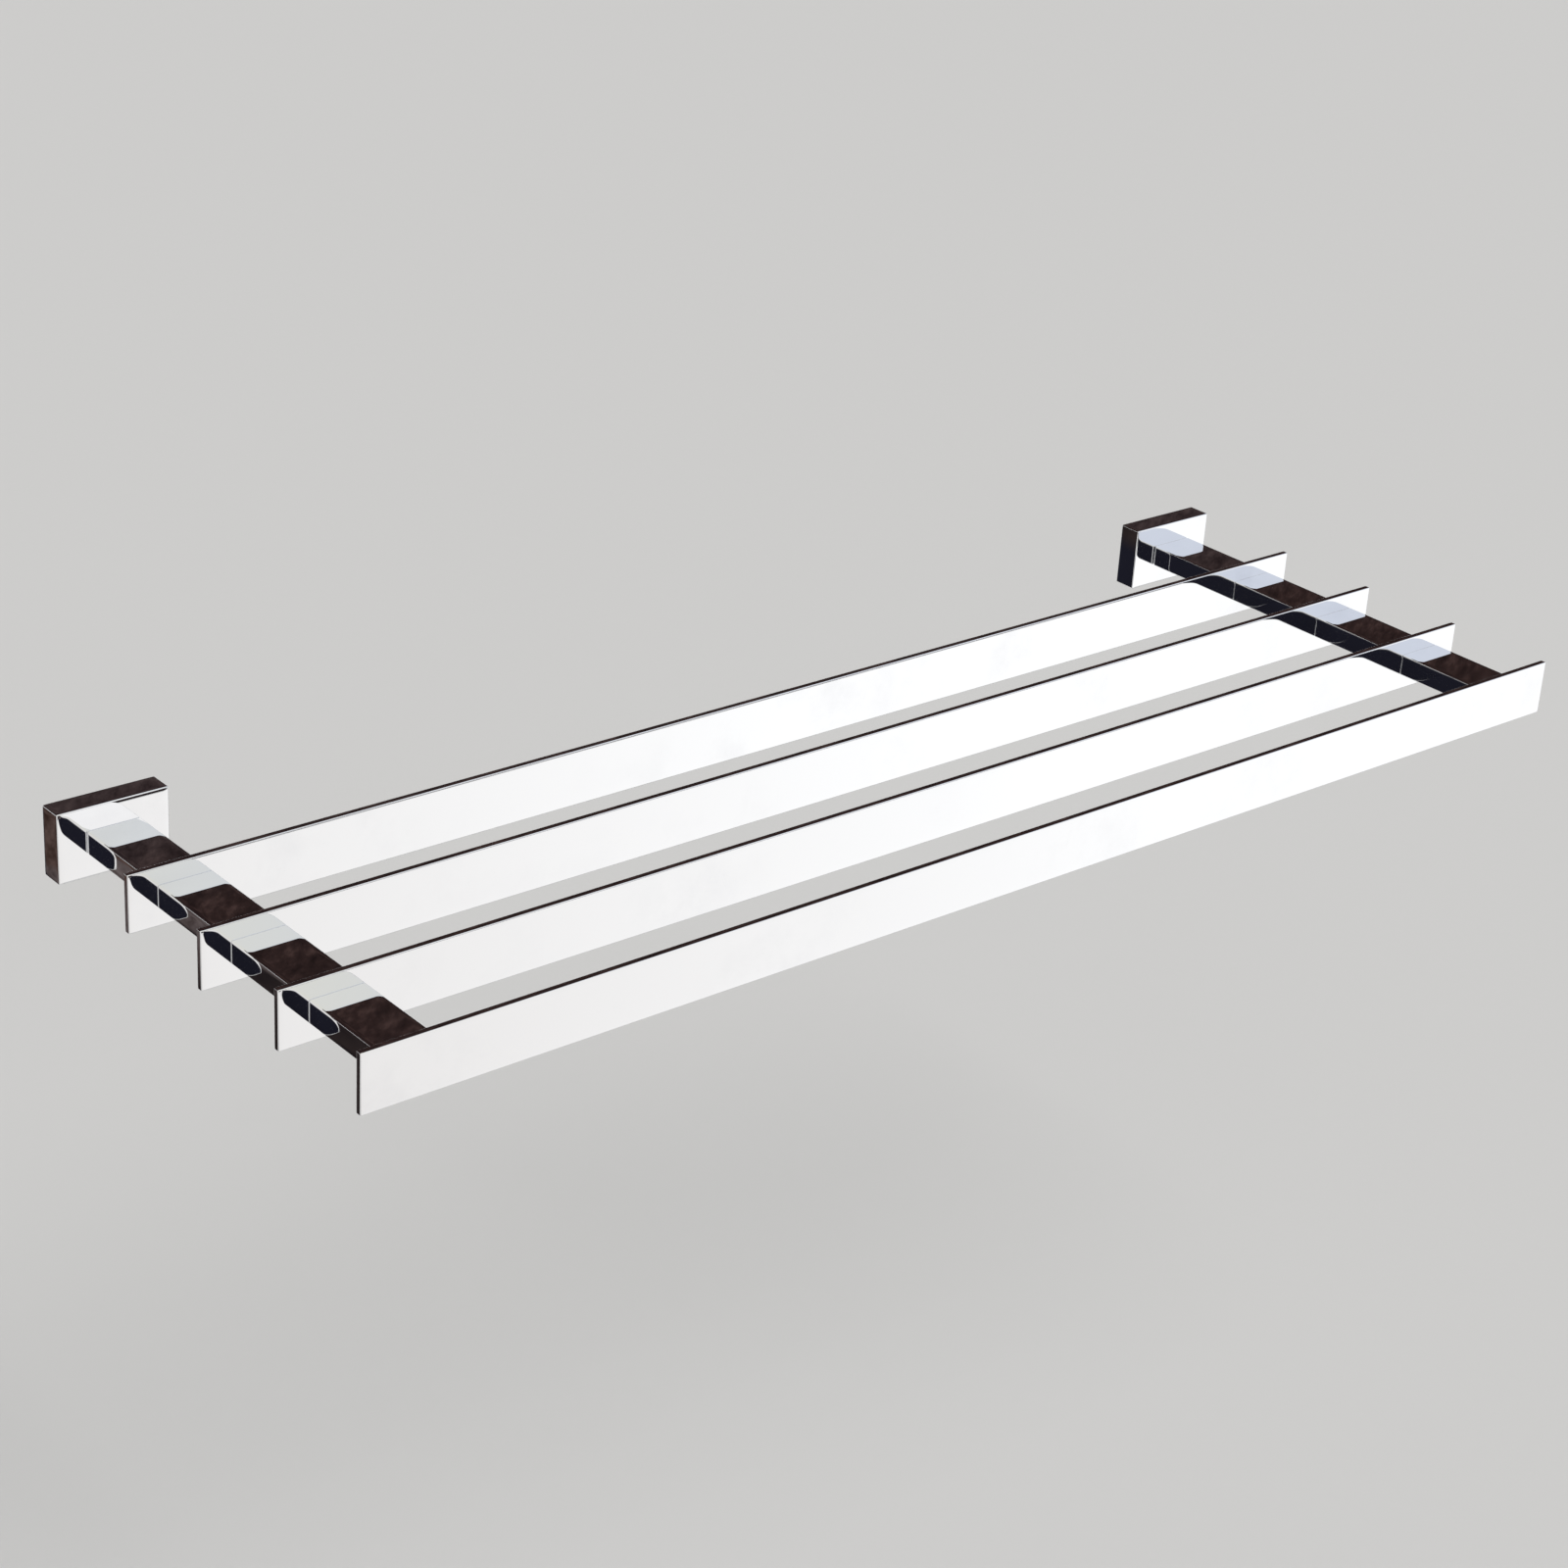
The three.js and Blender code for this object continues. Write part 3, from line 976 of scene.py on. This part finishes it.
def dark_stone(tree):
    """The dark, mottled wall over the rack, greyer and paler low down."""
    place = tree.nodes.new("ShaderNodeTexCoord").outputs["Object"]
    squeezed = stretched(tree, place, (1.0, 1.0, 1.4))
    mottle = noise(tree, squeezed, scale=95.0, detail=8.0, roughness=0.7)
    low_part = ramp_colour(
        tree, mottle,
        (0.36, (0.025, 0.017, 0.018)), (0.70, (0.088, 0.066, 0.066)),
    )
    high_part = ramp_colour(
        tree, mottle,
        (0.36, (0.013, 0.008, 0.008)), (0.52, (0.029, 0.017, 0.016)), (0.70, (0.070, 0.042, 0.038)),
    )
    return blend_colours(tree, along_axis(tree, "Z", WALL_TURNS), low_part, high_part)


def dark_brown(tree):
    return ramp_colour(
        tree, object_noise(tree, scale=40.0, detail=4.0),
        (0.3, (0.013, 0.010, 0.011)), (0.75, (0.030, 0.022, 0.021)),
    )


def navy(tree):
    return ramp_colour(
        tree, object_noise(tree, scale=12.0, detail=2.0),
        (0.3, (0.009, 0.009, 0.014)), (0.75, (0.014, 0.014, 0.023)),
    )


def brown_to_mauve(tree):
    """Dark brown, a paler greyed brown where the wall end of the left arm mirrors it, then navy.

    Higher up, where the cover's side mirrors it, the brown is warmer.
    """
    mottle = object_noise(tree, scale=160.0, detail=6.0)
    greyed = ramp_colour(tree, mottle, (0.3, (0.040, 0.028, 0.027)), (0.75, (0.150, 0.122, 0.120)))
    warm = ramp_colour(tree, mottle, (0.3, (0.026, 0.014, 0.011)), (0.75, (0.115, 0.075, 0.066)))
    pale = blend_colours(tree, along_axis(tree, "Z", FLAG_WARMS), greyed, warm)
    brown = blend_colours(tree, along_axis(tree, "Z", FLAG_PALES), dark_brown(tree), pale)
    return blend_colours(tree, along_axis(tree, "Y", FLAG_ENDS), brown, navy(tree))


def pale_grey(tree):
    return ramp_colour(tree, axis_of(tree, "Z"), (0.0, (0.84, 0.83, 0.82)), (1.0, (0.90, 0.90, 0.90)))


def grey_rise(tree):
    """Mid grey at the floor, paler higher up."""
    rise = along_axis(tree, "Z", (FLOOR_Z, 0.0))
    return ramp_colour(tree, rise, (0.0, (0.22, 0.22, 0.23)), (1.0, (0.85, 0.86, 0.87)))


def white_over_grey(tree):
    """White below, greyer to the left; above, a warm grey that turns cooler to the right."""
    along = along_axis(tree, "X", SWEEP_SPAN)
    low_part = ramp_colour(tree, along, (0.0, (0.78, 0.76, 0.745)), (0.8, (1.0, 1.0, 1.0)))
    high_part = ramp_colour(
        tree, along,
        (0.12, (0.75, 0.74, 0.67)), (0.3, (0.70, 0.72, 0.73)), (1.0, (0.66, 0.70, 0.79)),
    )
    return blend_colours(tree, along_axis(tree, "Z", SWEEP_TURNS), low_part, high_part)


def build_floor():
    deselect()
    bpy.ops.mesh.primitive_plane_add(size=FLOOR_SIZE, location=(0.0, 0.0, FLOOR_Z))
    floor = place_mesh("floor")
    material = bpy.data.materials.new("pale_floor")
    material.use_nodes = True
    shader = material.node_tree.nodes["Principled BSDF"]
    shader.inputs["Base Color"].default_value = (0.66, 0.655, 0.645, 1.0)
    shader.inputs["Roughness"].default_value = 0.9
    shader.inputs["Specular IOR Level"].default_value = 0.1
    floor.data.materials.append(material)


def build_room_cards():
    """The large cards: a dark wall above, a white sweep in front and grey far behind."""
    card(
        "wall_over_rack", centre=(0.0, WALL_Y, WALL_FOOT + WALL_HEIGHT / 2), size=(6.0, WALL_HEIGHT),
        facing=FORWARD, colour=dark_stone,
    )
    sweep_height = SWEEP_TOP - FLOOR_Z
    card(
        "white_sweep", centre=(0.0, SWEEP_Y, FLOOR_Z + sweep_height / 2), size=(5.0, sweep_height),
        facing=BACKWARD, colour=white_over_grey, strength=SWEEP_STRENGTH,
    )
    card(
        "grey_back", centre=(0.3, BACK_Y, FLOOR_Z + 0.5), size=(3.0, 1.0),
        facing=FORWARD, colour=grey_rise,
    )


def build_side_cards(left_x, right_x):
    """Brown to the left of each arm and behind it; navy to its left, low down and in front."""
    card(
        "brown_flag_left", centre=(left_x - 0.10, 0.09, -0.125), size=(0.30, 0.19),
        facing=TURNED_IN, colour=brown_to_mauve, soft=0.01,
    )
    card(
        "brown_flag_right", centre=(right_x - 0.10, 0.09, -0.055), size=(0.12, 0.10),
        facing=TURNED_IN, colour=dark_brown, soft=0.01,
    )
    card(
        "navy_flag_left", centre=(left_x - 0.15, -0.40, -0.193), size=(0.32, 0.11),
        facing=RIGHT, colour=navy, soft=0.008,
    )
    card(
        "navy_flag_right", centre=(right_x - 0.047, -0.17, -0.0325), size=(0.50, 0.040),
        facing=RIGHT, colour=navy, soft=0.008,
    )


def build_small_cards(left_x, right_x):
    """Three small cards near the covers, each for one small reflection."""
    # White for the upper half of the left cover's face, by way of the first block's top
    card(
        "cover_light", centre=(left_x + 0.045, -0.060, 0.021), size=(0.05, 0.0218),
        facing=BACKWARD, colour=pale_grey, strength=1.3,
    )
    # Dark for a sliver along the top of the same face, by way of the back of the rear slat
    card(
        "edge_shade", centre=(left_x + 0.118, 0.03, -0.049), size=(0.05, 0.024),
        facing=FORWARD, colour=dark_brown,
    )
    # Light for a thin line on the right arm's side, by way of the rounded edge of the right cover
    card(
        "edge_light", centre=(right_x - 0.025, -0.0115, -0.018), size=(0.028, 0.034),
        facing=TURNED_BACK, colour=pale_grey,
    )


def build_cards():
    left_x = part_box("wall_cover_left")[0].x
    right_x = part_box("wall_cover_right")[0].x
    build_room_cards()
    build_side_cards(left_x, right_x)
    build_small_cards(left_x, right_x)
    # Hides the left navy card from what lies between the arms
    card(
        "white_shield", centre=(left_x + 0.025, -0.33, -0.185), size=(0.60, 0.31),
        facing=RIGHT, colour=pale_grey, soft=0.02,
    )


KEY_STRENGTH = 1.15
KEY_SPREAD = math.radians(40)
KEY_HEADING = Vector((-0.35, 0.55, -1.0))
WORLD_STRENGTH = 0.62


def build_lights():
    sun = bpy.data.lights.new("soft_key", "SUN")
    sun.energy = KEY_STRENGTH
    sun.angle = KEY_SPREAD
    light = bpy.data.objects.new("soft_key", sun)
    light.rotation_euler = KEY_HEADING.to_track_quat("-Z", "Y").to_euler()
    light.visible_glossy = False
    bpy.context.scene.collection.objects.link(light)
    world = bpy.data.worlds.new("studio")
    bpy.context.scene.world = world
    world.use_nodes = True
    background = world.node_tree.nodes["Background"]
    background.inputs["Color"].default_value = (1.0, 1.0, 1.0, 1.0)
    background.inputs["Strength"].default_value = WORLD_STRENGTH


CAMERA_AIM = Vector((-0.0427, -0.1189, 0.0))
CAMERA_DISTANCE = 1.386
CAMERA_TURN = math.radians(-41.1)
CAMERA_RISE = math.radians(25.16)
CAMERA_ROLL = math.radians(3.66)
CAMERA_LENS = 75.4
CAMERA_SENSOR = 36.0
CAMERA_CLIP = (0.01, 100.0)


def build_camera():
    back = Vector((
        math.sin(CAMERA_TURN) * math.cos(CAMERA_RISE),
        -math.cos(CAMERA_TURN) * math.cos(CAMERA_RISE),
        math.sin(CAMERA_RISE),
    ))
    data = bpy.data.cameras.new("camera")
    data.lens = CAMERA_LENS
    data.sensor_width = CAMERA_SENSOR
    data.clip_start, data.clip_end = CAMERA_CLIP
    camera = bpy.data.objects.new("camera", data)
    level = (-back).to_track_quat("-Z", "Y").to_matrix().to_4x4()
    camera.matrix_world = (
        Matrix.Translation(CAMERA_AIM + back * CAMERA_DISTANCE)
        @ level
        @ Matrix.Rotation(CAMERA_ROLL, 4, "Z")
    )
    bpy.context.scene.collection.objects.link(camera)
    bpy.context.scene.camera = camera


build_floor()
build_cards()
build_lights()
build_camera()
bpy.context.scene.view_settings.view_transform = "Standard"
